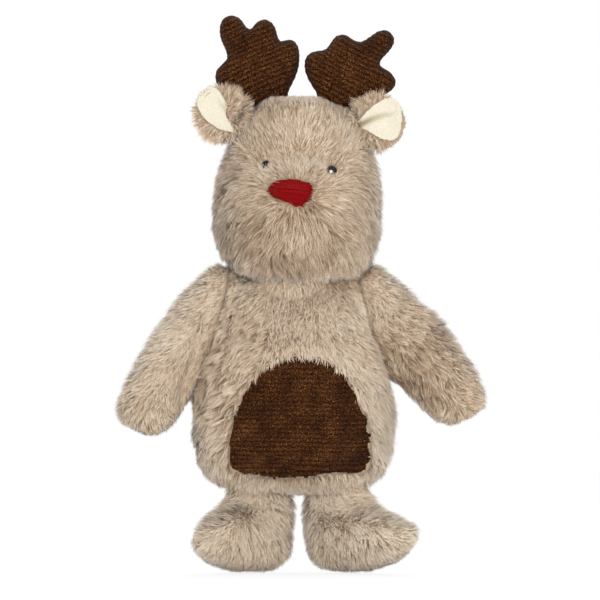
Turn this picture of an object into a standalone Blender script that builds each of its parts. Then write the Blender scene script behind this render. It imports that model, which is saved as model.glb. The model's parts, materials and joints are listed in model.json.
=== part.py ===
"""A stuffed plush deer that stands on its soles, facing -Y, in metres.

Every stuffed piece is a sewn cover with its own filling. The head rides on a ball of
stuffing in the neck, the arms turn on the slanted seams of the shoulders, the legs turn
in hollows under the body, and the ears and antlers bend along the seams at their roots.
"""

import math

import bmesh
import bpy
from mathutils import Matrix, Vector
from mathutils.bvhtree import BVHTree

# Clearances, and how far a cutter runs past what it cuts
touch_gap = 0.0003
turning_gap = 0.0006
overrun = 0.012

# Cloth: the plush counts its pile, which stands on a thin knitted backing
plush_thickness = 0.0070
cord_thickness = 0.0016
patch_thickness = 0.0018
patch_depth = 0.0030
lining_thickness = 0.0026

# Body
body_width = 0.1165
body_depth = 0.0900
body_length = 0.1225
body_bottom_height = 0.0445

# Neck: a ball of stuffing between the body and the head
neck_radius = 0.0200
neck_above_body = 0.0030

# Head
head_width = 0.0970
head_front_reach = 0.0440
head_back_reach = 0.0460
head_length = 0.1060
head_above_neck_centre = 0.0005
muzzle_reach = 0.0200
chin_drop = 0.0065
head_roll = math.radians(3.0)
head_yaw = math.radians(2.0)

# Ears, from the hinge along their roots
left_ear_side = 0.0365
right_ear_side = 0.0345
ear_height = 0.0850
ear_front_offset = 0.0095
ear_radius = 0.0178
ear_reach = 0.0102
ear_cup_depth = 0.0095
ear_root_radius = 0.0048
ear_root_length = 0.0200
ear_lean = math.radians(31)
ear_turn = math.radians(4)
ear_forward_limit = math.radians(30)
ear_back_limit = math.radians(8)
lining_radius = 0.0128
lining_reach = 0.0130

# Antlers, from the hinge along their roots
left_antler_side = 0.0190
right_antler_side = 0.0175
left_antler_height = 0.1005
right_antler_height = 0.1025
antler_back_offset = 0.0090
left_antler_span = 0.0490
right_antler_span = 0.0520
left_antler_rise = 0.0488
right_antler_rise = 0.0472
antler_edge_radius = 0.0036
antler_thickness = 0.0120
antler_root_length = 0.0180
antler_opening_length = 0.0090
antler_opening_width = 0.0050
antler_bend_limit = math.radians(15)

# Arms
shoulder_half_span = 0.0394
shoulder_height = 0.1050
seam_lean = math.radians(20.4)
arm_length = 0.1035
arm_width = 0.0470
arm_depth = 0.0430
arm_root_rise = 0.0175
arm_root_offset = 0.0062
arm_opening_radius = 0.0075
arm_opening_length = 0.0240
left_arm_spread = math.radians(11.2)
right_arm_spread = math.radians(15.4)

# Legs and feet
hip_height = 0.0420
left_hip_side = 0.0212
right_hip_side = 0.0249
hip_gap = 0.0006
leg_width = 0.0400
leg_depth = 0.0350
left_foot_reach = 0.0480
right_foot_reach = 0.0545
foot_width = 0.0400
heel_reach = 0.0185
left_toe_turn = math.radians(48)
right_toe_turn = math.radians(52)
left_instep_share = 0.86
right_instep_share = 1.12
leg_opening_radius = 0.0080
leg_forward_limit = math.radians(40)
leg_back_limit = math.radians(20)

# Nose, eyes and the light stitch in each eye
nose_width = 0.0255
nose_height = 0.0150
nose_depth = 0.0070
nose_level = 0.0473
nose_side = 0.0030
nose_lean = math.radians(9)
eye_width = 0.0072
eye_depth = 0.0050
eye_spacing = 0.0370
eye_side = 0.0010
eye_level = 0.0615
glint_width = 0.0026

# Belly patch
patch_width = 0.0790
patch_height = 0.0675
patch_level = 0.0115
patch_side = 0.0033

# Body rings: height, width, front and back
body_ring_shares = (
    (0.000, 0.55, 0.42, 0.46),
    (0.060, 0.94, 0.86, 0.88),
    (0.270, 1.02, 1.02, 0.98),
    (0.500, 0.99, 0.96, 0.94),
    (0.740, 1.02, 0.82, 0.84),
    (0.930, 0.80, 0.54, 0.58),
    (1.000, 0.36, 0.30, 0.32),
)

# Head rings: height, width, front, back, muzzle and chin
head_ring_shares = (
    (0.000, 0.46, 0.48, 0.48, 0.00, 0.20),
    (0.035, 0.87, 0.86, 0.82, 0.25, 1.00),
    (0.160, 0.97, 0.98, 0.96, 0.80, 0.60),
    (0.360, 1.02, 1.02, 1.02, 1.05, 0.10),
    (0.530, 1.00, 0.98, 1.02, 0.92, 0.00),
    (0.640, 0.92, 0.93, 0.98, 0.08, 0.00),
    (0.830, 0.76, 0.80, 0.88, 0.00, 0.00),
    (0.960, 0.60, 0.58, 0.64, 0.00, 0.00),
    (1.000, 0.30, 0.30, 0.34, 0.00, 0.00),
)

# Arm rings from the shoulder to the paw: length, width and depth
arm_ring_shares = (
    (0.000, 0.34, 0.40),
    (0.100, 0.72, 0.76),
    (0.350, 0.91, 0.96),
    (0.650, 0.96, 1.00),
    (0.920, 0.84, 0.86),
    (1.000, 0.42, 0.44),
)

# Leg rings: the round top in the leg's own radius, then heights down from the hip and sizes
leg_dome_shares = ((0.98, 0.34), (0.62, 0.76), (0.00, 0.97))
ankle_ring_shares = (-0.140, 0.97, 0.02)
instep_ring_shares = (-0.260, 0.98)
foot_ring_shares = ((-0.560, 1.02, 1.04), (-0.870, 0.93, 0.95), (-1.035, 0.46, 0.52))

# Slices across the hollow that a leg or a root turns in: place along the hinge and radius
hip_slice_shares = ((-0.995, 0.10), (-0.90, 0.44), (-0.65, 0.76), (-0.25, 0.97), (0.25, 0.97),
                    (0.65, 0.76), (0.90, 0.44), (0.995, 0.10))
root_slice_shares = ((-1.00, 1.00), (1.00, 1.00))
hollow_arc_steps = 8

# Ear rings from the bottom of the cup round the rim to the back: radius and depth
ear_ring_shares = ((0.34, -0.06), (0.74, -0.16), (0.96, -0.50), (1.04, -0.12), (0.72, 0.38), (0.30, 0.48))
lining_ring_shares = ((0.45, 0.22), (0.98, -0.30), (1.02, -1.20), (0.45, -0.80))

# Antler outlines from the inner end of the root, over the tines, to the outer end
left_antler_shares = (
    (0.15, -0.08), (0.19, 0.10), (0.28, 0.28), (0.325, 0.53), (0.25, 0.70), (0.10, 0.665), (0.045, 0.84),
    (-0.055, 0.935), (-0.155, 0.90), (-0.255, 0.80), (-0.35, 0.93), (-0.47, 0.985), (-0.575, 0.90),
    (-0.565, 0.70), (-0.485, 0.485), (-0.615, 0.36), (-0.625, 0.20), (-0.42, 0.06),
    (-0.17, -0.06),
)
right_antler_shares = (
    (-0.15, -0.08), (-0.19, 0.10), (-0.275, 0.25), (-0.315, 0.48), (-0.23, 0.575), (-0.085, 0.59),
    (0.015, 0.755),
    (0.125, 0.775), (0.21, 0.70), (0.32, 0.69), (0.48, 0.815), (0.60, 0.82), (0.65, 0.70),
    (0.56, 0.56), (0.475, 0.42), (0.60, 0.33), (0.67, 0.20), (0.58, 0.09), (0.40, 0.02),
    (0.15, -0.08),
)

# Half of the belly patch's outline, from the middle of the top to the middle of the hem
patch_shares = (
    (0.00, 1.00), (0.27, 0.995), (0.45, 0.94), (0.60, 0.87), (0.72, 0.76), (0.84, 0.62), (0.95, 0.47),
    (1.00, 0.32), (1.00, 0.10), (0.93, 0.01), (0.50, 0.00), (0.00, 0.00),
)

# How far forward the patch's sides reach, of the body's depth
patch_wrap_share = 0.15

# Nose rings from front to back: size and depth
nose_ring_shares = ((0.50, -1.00), (0.88, -0.70), (1.00, 0.00), (0.88, 0.70), (0.50, 1.00))

plush_colour = (0.50, 0.40, 0.29)
filling_colour = (0.86, 0.86, 0.84)
cord_colour = (0.07, 0.027, 0.012)
lining_colour = (0.86, 0.80, 0.68)
nose_colour = (0.26, 0.012, 0.014)
eye_colour = (0.010, 0.009, 0.009)
glint_colour = (0.90, 0.90, 0.88)

FRONT = Vector((0, -1, 0))
SIDE = Vector((1, 0, 0))
UP = Vector((0, 0, 1))


def clear_scene():
    for thing in list(bpy.data.objects):
        bpy.data.objects.remove(thing, do_unlink=True)


def new_collection(name):
    collection = bpy.data.collections.new(name)
    bpy.context.scene.collection.children.link(collection)
    return collection


def new_pivot(name, parent, location, turn=(0, 0, 0)):
    """An empty on a joint's axis, which carries the pieces that move on it."""
    pivot = bpy.data.objects.new(name, None)
    pivot.empty_display_size = neck_radius
    parts.objects.link(pivot)
    pivot.parent = parent
    pivot.location = location
    pivot.rotation_euler = turn
    return pivot


def new_piece(name, mesh, parent, colour, roughness):
    """A piece of the toy with a material of its own."""
    material = bpy.data.materials.new(name)
    material.use_nodes = True
    shader = material.node_tree.nodes["Principled BSDF"]
    shader.inputs["Base Color"].default_value = (*colour, 1)
    shader.inputs["Roughness"].default_value = roughness
    shader.inputs["Metallic"].default_value = 0
    mesh.materials.append(material)
    piece = bpy.data.objects.new(name, mesh)
    parts.objects.link(piece)
    piece.parent = parent
    return piece


def new_cutter(name, mesh, parent):
    cutter = bpy.data.objects.new(name, mesh)
    cutters.objects.link(cutter)
    cutter.parent = parent
    cutter.hide_render = True
    cutter.display_type = "WIRE"
    return cutter


def evaluated_mesh(piece):
    bpy.context.view_layer.update()
    return bpy.data.meshes.new_from_object(piece.evaluated_get(bpy.context.evaluated_depsgraph_get()))


def combine(piece, other, operation):
    """A Boolean of a piece with another object."""
    boolean = piece.modifiers.new(other.name, "BOOLEAN")
    boolean.operation = operation
    boolean.object = other
    boolean.solver = "EXACT"


def cut(piece, *others):
    for other in others:
        combine(piece, other, "DIFFERENCE")


def ring_mesh(name, rings):
    """A closed cage through rings of points, first and last ring capped."""
    form = bmesh.new()
    loops = [[form.verts.new(point) for point in ring] for ring in rings]
    count = len(loops[0])
    for lower, upper in zip(loops, loops[1:]):
        for step in range(count):
            after = (step + 1) % count
            form.faces.new((lower[step], lower[after], upper[after], upper[step]))
    form.faces.new(loops[0])
    form.faces.new(loops[-1])
    bmesh.ops.recalc_face_normals(form, faces=form.faces)
    mesh = bpy.data.meshes.new(name)
    form.to_mesh(mesh)
    form.free()
    return mesh


def cage_scale(count):
    """How much wider than its smooth form a ring of the cage is."""
    return 3 / (2 + math.cos(math.tau / count))


def soften(piece):
    subdivision = piece.modifiers.new("soft_form", "SUBSURF")
    subdivision.levels = 1
    subdivision.render_levels = 1


def shell(piece, thickness):
    solidify = piece.modifiers.new("cloth", "SOLIDIFY")
    solidify.thickness = thickness
    solidify.offset = -1


def grow(piece, distance):
    displace = piece.modifiers.new("offset", "DISPLACE")
    displace.mid_level = 0
    displace.strength = distance


def smooth_shading(piece):
    piece.data.shade_smooth()


def inner_mesh(name, rings, inset):
    """The plain inner form of a stuffed piece: its outer form's points, moved inwards."""
    mesh = ring_mesh(name, rings)
    guide = new_cutter(name, mesh.copy(), None)
    soften(guide)
    outer = evaluated_mesh(guide)
    bpy.data.objects.remove(guide)
    for vert, place in zip(mesh.vertices, outer.vertices):
        vert.co = place.co - place.normal * inset
    form = bmesh.new()
    form.from_mesh(mesh)
    bmesh.ops.poke(form, faces=[face for face in form.faces if len(face.verts) > 4])
    bmesh.ops.triangulate(form, faces=form.faces, quad_method="FIXED")
    form.to_mesh(mesh)
    form.free()
    return mesh


def stuffed_form(name, rings, parent):
    """A plush cover from a coarse cage, hollow inside, and the stuffing that fills it."""
    cover = new_piece(f"{name}_cover", ring_mesh(name, rings), parent, plush_colour, 0.95)
    soften(cover)
    cavity = new_cutter(f"{name}_cavity", inner_mesh(name, rings, plush_thickness), parent)
    cut(cover, cavity)
    inside = inner_mesh(name, rings, plush_thickness + touch_gap)
    filling = new_piece(f"{name}_filling", inside, parent, filling_colour, 1.0)
    smooth_shading(cover)
    smooth_shading(filling)
    return cover, filling


def body_rings():
    count = 12
    scale = cage_scale(count)
    rings = []
    for height, width, front, back in body_ring_shares:
        ring = []
        for step in range(count):
            turn = math.tau * step / count
            reach = front if math.sin(turn) > 0 else back
            across = scale * width * body_width / 2 * math.cos(turn)
            forward = scale * reach * body_depth / 2 * math.sin(turn)
            ring.append(SIDE * across + FRONT * forward + UP * height * body_length)
        rings.append(ring)
    return rings


def head_rings():
    """Rings from the chin to the crown, with the muzzle pushed out of the front."""
    count = 12
    scale = cage_scale(count)
    rings = []
    for height, width, front, back, muzzle, chin in head_ring_shares:
        ring = []
        for step in range(count):
            turn = math.tau * step / count
            ahead = max(math.sin(turn), 0)
            reach = front * head_front_reach if ahead else back * head_back_reach
            across = scale * width * head_width / 2 * math.cos(turn)
            forward = scale * reach * math.sin(turn) + muzzle * muzzle_reach * ahead ** 3
            level = head_above_neck_centre + height * head_length - chin * chin_drop * ahead ** 2
            ring.append(SIDE * across + FRONT * forward + UP * level)
        rings.append(ring)
    return rings


def arm_rings(side, spread):
    """Rings from the shoulder to the paw, square to the arm's own line."""
    count = 8
    scale = cage_scale(count)
    along = Matrix.Rotation(-side * spread, 3, "Y") @ -UP
    across = Matrix.Rotation(-side * spread, 3, "Y") @ SIDE
    start = SIDE * side * arm_root_offset + UP * arm_root_rise
    rings = []
    for length, width, depth in arm_ring_shares:
        centre = start + along * length * arm_length
        ring = []
        for step in range(count):
            turn = math.tau * (step + 0.5) / count
            out = across * scale * width * arm_width / 2 * math.cos(turn)
            ring.append(centre + out + FRONT * scale * depth * arm_depth / 2 * math.sin(turn))
        rings.append(ring)
    return rings


def leg_rings(side, foot_reach, toe_turn, instep_share):
    """Rings from the round top of the leg to the sole, drawn out towards the toes."""
    count = 8
    scale = cage_scale(count)
    toe = Matrix.Rotation(side * toe_turn, 3, "Z") @ FRONT
    beside = Matrix.Rotation(side * toe_turn, 3, "Z") @ SIDE
    stations = [(height * leg_depth / 2, size, 0) for height, size in leg_dome_shares]
    lower = (ankle_ring_shares, (*instep_ring_shares, instep_share), *foot_ring_shares)
    stations += [(height * hip_height, size, foot) for height, size, foot in lower]
    rings = []
    for level, size, foot in stations:
        ring = []
        for step in range(count):
            turn = math.tau * step / count
            heading = turn + side * toe_turn - math.pi / 2
            leg = SIDE * leg_width / 2 * math.cos(heading) - FRONT * leg_depth / 2 * math.sin(heading)
            reach = foot_reach if math.cos(turn) > 0 else heel_reach
            sole = toe * reach * math.cos(turn) + beside * foot_width / 2 * math.sin(turn)
            ring.append(scale * size * leg.lerp(sole, min(foot, 1)) * max(foot, 1) + UP * level)
        rings.append(ring)
    return rings


def ball_mesh(name, radius):
    form = bmesh.new()
    bmesh.ops.create_uvsphere(form, u_segments=20, v_segments=12, radius=radius)
    mesh = bpy.data.meshes.new(name)
    form.to_mesh(mesh)
    form.free()
    return mesh


def rod_mesh(name, radius, length, turn):
    """A closed cylinder about the middle, turned from the Z axis."""
    form = bmesh.new()
    bmesh.ops.create_cone(form, cap_ends=True, segments=16, radius1=radius, radius2=radius,
                          depth=length, matrix=turn)
    mesh = bpy.data.meshes.new(name)
    form.to_mesh(mesh)
    form.free()
    return mesh


def block_mesh(name, low, high):
    """A box between two corners."""
    form = bmesh.new()
    size = Matrix.Diagonal((*(high - low), 1))
    bmesh.ops.create_cube(form, size=1, matrix=Matrix.Translation((low + high) / 2) @ size)
    mesh = bpy.data.meshes.new(name)
    form.to_mesh(mesh)
    form.free()
    return mesh


def hollow_mesh(name, axis, out, ahead, half_length, radius, limits, reach, slices):
    """The hollow that something turns in, swept from its forward limit to its back limit.

    The axis is the hinge's line, out points along what turns, and ahead is its way forward.
    """
    forward, back = limits
    rings = []
    for place, spread in slices:
        outline = []
        for step in range(hollow_arc_steps + 1):
            turn = forward + (math.pi - back - forward) * step / hollow_arc_steps
            outline.append((ahead * math.cos(turn) - out * math.sin(turn)) * radius * spread)
        outline.insert(0, outline[0] + (out * math.cos(forward) + ahead * math.sin(forward)) * reach)
        outline.append(outline[-1] + (out * math.cos(back) - ahead * math.sin(back)) * reach)
        rings.append([point + axis * place * half_length for point in outline])
    return ring_mesh(name, rings)


def surface_point(piece, across, level):
    """Where a line from the front, in the piece's own frame, meets it."""
    tree = BVHTree.FromObject(piece, bpy.context.evaluated_depsgraph_get())
    origin = SIDE * across + UP * level + FRONT * head_width * 2
    return tree.ray_cast(origin, -FRONT)[0]


def outline_mesh(name, points, thickness, edge_radius):
    """A flat outline with rounded edges, made a closed mesh."""
    curve = bpy.data.curves.new(name, "CURVE")
    curve.dimensions = "2D"
    curve.fill_mode = "BOTH"
    curve.resolution_u = 2
    curve.extrude = thickness / 2 - edge_radius
    curve.bevel_depth = edge_radius
    curve.bevel_resolution = 0
    curve.offset = -edge_radius
    spline = curve.splines.new("BEZIER")
    spline.bezier_points.add(len(points) - 1)
    for place, point in zip(spline.bezier_points, points):
        place.co = (*point, 0)
        place.handle_left_type = "AUTO"
        place.handle_right_type = "AUTO"
    spline.use_cyclic_u = True
    holder = bpy.data.objects.new(name, curve)
    parts.objects.link(holder)
    mesh = evaluated_mesh(holder)
    bpy.data.objects.remove(holder)
    bpy.data.curves.remove(curve)
    form = bmesh.new()
    form.from_mesh(mesh)
    bmesh.ops.remove_doubles(form, verts=form.verts, dist=touch_gap / 10)
    bmesh.ops.rotate(form, verts=form.verts, cent=Vector(), matrix=Matrix.Rotation(math.pi / 2, 3, "X"))
    bmesh.ops.recalc_face_normals(form, faces=form.faces)
    form.to_mesh(mesh)
    form.free()
    return mesh


def make_neck():
    ball = new_piece("neck_filling", ball_mesh("neck_filling", neck_radius), neck, filling_colour, 1.0)
    smooth_shading(ball)
    hollow = new_cutter("neck_hollow", ball_mesh("neck_hollow", neck_radius + turning_gap), neck)
    cut(body_cover, hollow)
    cut(body_filling, hollow)
    cut(head_cover, hollow)
    cut(head_filling, hollow)


def make_arm(name, side, spread):
    """An arm whose flat root slides on the flat seam of the body."""
    lean = (0, -side * seam_lean, 0)
    place = SIDE * side * shoulder_half_span + UP * shoulder_height
    pivot = new_pivot(f"{name}_arm_pivot", body, place, lean)
    cover, filling = stuffed_form(f"{name}_arm", arm_rings(side, spread), pivot)
    reach = arm_length + overrun
    deep = arm_depth + overrun
    inner = touch_gap / 2
    inside = sorted((side * inner, -side * reach))
    outside = sorted((-side * inner, side * reach))
    low, high = Vector((inside[0], -deep, -reach)), Vector((inside[1], deep, reach))
    cut(cover, new_cutter(f"{name}_arm_trim", block_mesh(name, low, high), pivot))
    cut(filling, bpy.data.objects[f"{name}_arm_trim"])
    across = Matrix.Rotation(math.pi / 2, 4, "Y")
    round_hole = rod_mesh(name, arm_opening_radius, arm_opening_length, across)
    cut(cover, new_cutter(f"{name}_arm_opening", round_hole, pivot))
    low, high = Vector((outside[0], -deep, -reach)), Vector((outside[1], deep, reach))
    cut(body_cover, new_cutter(f"{name}_body_trim", block_mesh(name, low, high), pivot))
    cut(body_filling, bpy.data.objects[f"{name}_body_trim"])


def make_leg(name, side, hip_side, foot_reach, toe_turn, instep_share):
    """A leg whose round top turns in a hollow of the body."""
    place = SIDE * side * hip_side + UP * (hip_height - body_bottom_height)
    pivot = new_pivot(f"{name}_leg_pivot", body, place)
    rings = leg_rings(side, foot_reach, toe_turn, instep_share)
    cover, filling = stuffed_form(f"{name}_leg", rings, pivot)
    reach = foot_reach + overrun
    low, high = Vector((-reach, -reach, -hip_height - overrun)), Vector((reach, reach, -hip_height))
    cut(cover, new_cutter(f"{name}_sole_trim", block_mesh(name, low, high), pivot))
    round_hole = rod_mesh(name, leg_opening_radius, leg_depth / 2, Matrix())
    opening = new_cutter(f"{name}_leg_opening", round_hole, pivot)
    opening.location = UP * leg_depth / 2
    cut(cover, opening)
    hollow = new_cutter(f"{name}_hip_hollow", hollow_mesh(
        name, SIDE, -UP, FRONT, leg_width / 2 + hip_gap, leg_depth / 2 + hip_gap,
        (leg_forward_limit, leg_back_limit), hip_height + overrun, hip_slice_shares), pivot)
    cut(body_cover, hollow)
    cut(body_filling, hollow)


def cup_rings(shares, centre, radius, depth):
    """Rings of a round cup that faces forwards."""
    count = 8
    rings = []
    for size, level in shares:
        ring = []
        for step in range(count):
            turn = math.tau * (step + 0.5) / count
            spoke = SIDE * math.cos(turn) + UP * math.sin(turn)
            ring.append(centre + spoke * size * radius * cage_scale(count) - FRONT * level * depth)
        rings.append(ring)
    return rings


def trim_on_head(piece, name, pivot, axis, turns, gap):
    """Cuts away what would meet the head while a piece bends from one limit to the other."""
    for number, turn in enumerate(turns):
        form = new_cutter(f"{name}_{number}", ring_mesh(name, head_rings()), None)
        soften(form)
        grow(form, gap)
        mesh = evaluated_mesh(form)
        bpy.data.objects.remove(form)
        mesh.transform(Matrix.Rotation(turn, 4, axis) @ pivot.matrix_basis.inverted())
        cut(piece, new_cutter(f"{name}_{number}", mesh, pivot))


def make_ear(name, side, ear_side):
    """A cupped ear with a cream lining, on a round root along its hinge."""
    place = SIDE * side * ear_side + UP * ear_height + FRONT * ear_front_offset
    pivot = new_pivot(f"{name}_ear_pivot", head, place, (0, -side * ear_lean, side * ear_turn))
    cup = cup_rings(ear_ring_shares, SIDE * side * ear_reach, ear_radius, ear_cup_depth)
    back = new_piece(f"{name}_ear_back", ring_mesh(name, cup), pivot, plush_colour, 0.95)
    soften(back)
    turns = (0, side * ear_forward_limit, -side * ear_back_limit)
    trim_on_head(back, f"{name}_ear_trim", pivot, "Z", turns, turning_gap)
    seam = rod_mesh(name, ear_root_radius, ear_root_length, Matrix())
    combine(back, new_cutter(f"{name}_ear_root", seam, pivot), "UNION")
    cream = cup_rings(lining_ring_shares, SIDE * side * lining_reach, lining_radius, lining_thickness)
    lining = new_piece(f"{name}_ear_lining", ring_mesh(name, cream), pivot, lining_colour, 0.9)
    soften(lining)
    recess = new_cutter(f"{name}_lining_recess", ring_mesh(name, cream), pivot)
    soften(recess)
    grow(recess, touch_gap)
    cut(back, recess)
    hollow = new_cutter(f"{name}_ear_hollow", hollow_mesh(
        name, UP, SIDE * side, FRONT, ear_root_length / 2 + turning_gap, ear_root_radius + turning_gap,
        (ear_forward_limit, ear_back_limit), ear_radius, root_slice_shares), pivot)
    cut(head_cover, hollow)
    cut(head_filling, hollow)
    smooth_shading(back)
    smooth_shading(lining)


def antler_form(name, pivot, outline, inset):
    """An antler's whole form, moved inwards: the flat outline on the round root."""
    whole = new_cutter(name, outline.copy(), pivot)
    grow(whole, -inset)
    turns = (0, antler_bend_limit, -antler_bend_limit)
    trim_on_head(whole, f"{name}_trim", pivot, "X", turns, turning_gap + inset)
    along = Matrix.Rotation(math.pi / 2, 4, "Y")
    radius = antler_thickness / 2 - inset
    seam = rod_mesh(name, radius, antler_root_length - inset * 2, along)
    combine(whole, new_cutter(f"{name}_root", seam, pivot), "UNION")
    return whole


def make_antler(name, side, antler_side, antler_height, antler_span, antler_rise, shares):
    """A flat stuffed antler of brown cord, on a round root along its hinge."""
    place = SIDE * side * antler_side + UP * antler_height - FRONT * antler_back_offset
    pivot = new_pivot(f"{name}_antler_pivot", head, place, (0, -head_roll, 0))
    points = [(across * antler_span, up * antler_rise) for across, up in shares]
    outline = outline_mesh(name, points, antler_thickness, antler_edge_radius)
    whole = antler_form(f"{name}_antler_form", pivot, outline, 0)
    cavity = antler_form(f"{name}_antler_cavity", pivot, outline, cord_thickness)
    inside = antler_form(f"{name}_antler_inside", pivot, outline, cord_thickness + touch_gap)
    cover = new_piece(f"{name}_antler_cover", evaluated_mesh(whole), pivot, cord_colour, 0.9)
    cut(cover, cavity)
    filling = new_piece(f"{name}_antler_filling", evaluated_mesh(inside), pivot, filling_colour, 1.0)
    low = Vector((-antler_opening_length / 2, -antler_opening_width / 2, -antler_thickness))
    high = Vector((antler_opening_length / 2, antler_opening_width / 2, -antler_thickness / 4))
    cut(cover, new_cutter(f"{name}_antler_opening", block_mesh(name, low, high), pivot))
    hollow = new_cutter(f"{name}_antler_hollow", hollow_mesh(
        name, SIDE, UP, FRONT, antler_root_length / 2 + turning_gap, antler_thickness / 2 + turning_gap,
        (antler_bend_limit, antler_bend_limit), antler_thickness, root_slice_shares), pivot)
    cut(head_cover, hollow)
    cut(head_filling, hollow)
    smooth_shading(cover)
    smooth_shading(filling)


def lens_rings(width, height, depth):
    """Rings of a stitched oval from its front to its back."""
    count = 12
    rings = []
    for size, level in nose_ring_shares:
        ring = []
        for step in range(count):
            turn = math.tau * step / count
            across = SIDE * size * width / 2 * math.cos(turn)
            up = UP * size * height / 2 * math.sin(turn)
            ring.append(across + up - FRONT * level * depth / 2)
        rings.append(ring)
    return rings


def make_inlay(name, host, parent, place, rings, colour, turn=(0, 0, 0)):
    """A stitched piece set in a recess of its own shape in another piece."""
    mesh = ring_mesh(name, rings)
    piece = new_piece(name, mesh, parent, colour, 0.6)
    recess = new_cutter(f"{name}_recess", mesh.copy(), parent)
    grow(recess, touch_gap)
    for thing in (piece, recess):
        thing.location = place
        thing.rotation_euler = turn
    cut(host, recess)
    smooth_shading(piece)
    return piece


def make_face():
    """The stitched nose and eyes, seated where lines from the front meet the head."""
    bpy.context.view_layer.update()
    middle = surface_point(head_cover, -nose_side, nose_level)
    left_place = surface_point(head_cover, eye_side - eye_spacing / 2, eye_level)
    right_place = surface_point(head_cover, eye_side + eye_spacing / 2, eye_level)
    make_inlay("nose", head_cover, head, middle, lens_rings(nose_width, nose_height, nose_depth),
               nose_colour, (0, nose_lean, 0))
    for name, place in (("left", left_place), ("right", right_place)):
        eye = make_inlay(f"{name}_eye", head_cover, head, place,
                         lens_rings(eye_width, eye_width, eye_depth), eye_colour)
        front = place + FRONT * eye_depth / 2
        make_inlay(f"{name}_eye_glint", eye, head, front, lens_rings(glint_width, glint_width, glint_width),
                   glint_colour)


def make_patch():
    """The cord belly patch, a sheet that follows the belly in a shallow recess."""
    half = [(across * patch_width / 2, up * patch_height) for across, up in patch_shares]
    points = half + [(-across, up) for across, up in half[-2:0:-1]]
    rings = body_rings()

    def layer(name, depth, thickness):
        form = new_cutter(name, ring_mesh(name, rings), body)
        soften(form)
        grow(form, -depth)
        if thickness:
            shell(form, thickness)
        return form

    def prism(name, growth):
        flat = bmesh.new()
        for ahead in (body_depth * patch_wrap_share, body_depth):
            for across, up in points:
                flat.verts.new(SIDE * across + UP * up + FRONT * ahead)
        flat.verts.ensure_lookup_table()
        count = len(points)
        flat.faces.new(flat.verts[:count])
        flat.faces.new(flat.verts[count:])
        for step in range(count):
            after = (step + 1) % count
            flat.faces.new([flat.verts[place] for place in (step, after, count + after, count + step)])
        bmesh.ops.recalc_face_normals(flat, faces=flat.faces)
        mesh = bpy.data.meshes.new(name)
        flat.to_mesh(mesh)
        flat.free()
        cutter = new_cutter(name, mesh, body)
        cutter.location = SIDE * patch_side + UP * patch_level
        grow(cutter, growth)
        return cutter

    sheet = layer("patch_sheet", patch_depth, patch_thickness)
    combine(sheet, prism("patch_outline", 0), "INTERSECT")
    patch = new_piece("belly_patch", evaluated_mesh(sheet), body, cord_colour, 0.9)
    recess = prism("patch_recess", touch_gap)
    cut(recess, layer("patch_floor", patch_depth + patch_thickness + touch_gap, 0))
    cut(body_cover, recess)
    smooth_shading(patch)


def stand_on_origin():
    """Moves the root so that the finished toy stands centred on the origin."""
    bpy.context.view_layer.update()
    graph = bpy.context.evaluated_depsgraph_get()
    corners = []
    for piece in parts.objects:
        if piece.type == "MESH":
            shape = piece.evaluated_get(graph)
            corners += [shape.matrix_world @ vert.co for vert in shape.data.vertices]
    low = [min(corner[axis] for corner in corners) for axis in range(3)]
    high = [max(corner[axis] for corner in corners) for axis in range(3)]
    root.location = (-(low[0] + high[0]) / 2, -(low[1] + high[1]) / 2, -low[2])


clear_scene()
parts = new_collection("plush_deer")
cutters = new_collection("plush_deer_cutters")
root = new_pivot("plush_deer_root", None, (0, 0, 0))
body = new_pivot("body_base", root, UP * body_bottom_height)
neck = new_pivot("neck_pivot", body, UP * (body_length + neck_above_body))
head = new_pivot("head_pivot", neck, (0, 0, 0), (0, head_roll, -head_yaw))

body_cover, body_filling = stuffed_form("body", body_rings(), body)
head_cover, head_filling = stuffed_form("head", head_rings(), head)
make_face()
make_patch()
make_neck()
make_arm("left", -1, left_arm_spread)
make_arm("right", 1, right_arm_spread)
make_leg("left", -1, left_hip_side, left_foot_reach, left_toe_turn, left_instep_share)
make_leg("right", 1, right_hip_side, right_foot_reach, right_toe_turn, right_instep_share)
make_ear("left", -1, left_ear_side)
make_ear("right", 1, right_ear_side)
make_antler("left", -1, left_antler_side, left_antler_height,
            left_antler_span, left_antler_rise, left_antler_shares)
make_antler("right", 1, right_antler_side, right_antler_height,
            right_antler_span, right_antler_rise, right_antler_shares)
stand_on_origin()
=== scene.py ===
"""The finished look of the stuffed plush deer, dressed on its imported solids.

Every furry piece is a knitted skin a few millimetres inside its solid, with a pile of single
strands that are combed, gathered into tufts and cut short where two pieces meet. The antlers
and the belly patch are ribbed cord, the ears are lined with short cream plush, and the nose
and eyes are stitched with thread.
"""

import json
import math

import bmesh
import bpy
import numpy as np
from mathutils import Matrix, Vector
from mathutils.bvhtree import BVHTree
from mathutils.kdtree import KDTree


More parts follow.
